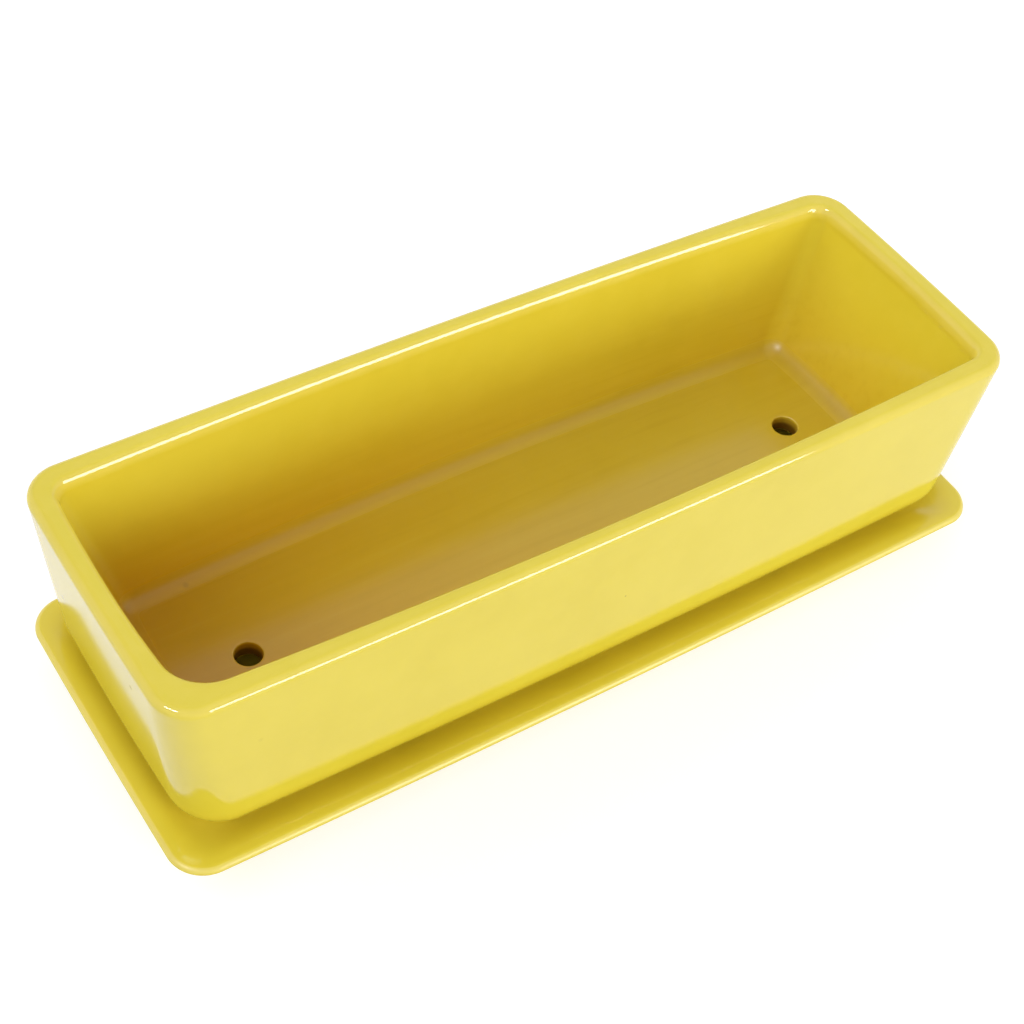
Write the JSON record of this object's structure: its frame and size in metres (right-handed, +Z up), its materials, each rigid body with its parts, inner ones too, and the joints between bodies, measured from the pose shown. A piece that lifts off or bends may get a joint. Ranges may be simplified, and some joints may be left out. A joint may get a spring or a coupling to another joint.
{
  "type": "indoor herb planter",
  "caption": "Long glazed ceramic trough for potted herbs, with drain holes in its raised floor, standing loose in a matching shallow drip saucer.",
  "frame": {"origin": "on the table, under the centre of the saucer's foot ring", "axes": "+X along the planter's length, +Y across it to the back, +Z up"},
  "size_m": [0.3527, 0.1314, 0.0874],
  "materials": {
    "yellow_glaze": "gloss"
  },
  "bodies": {
    "saucer": {"drip_saucer": "yellow_glaze"},
    "pot": {"planter_pot": "yellow_glaze"}
  },
  "joints": [
    {"name": "pot_lift", "type": "slide", "parent": "saucer", "child": "pot", "axis": [0, 0, 1], "range_m": [0, 0.12]}
  ]
}
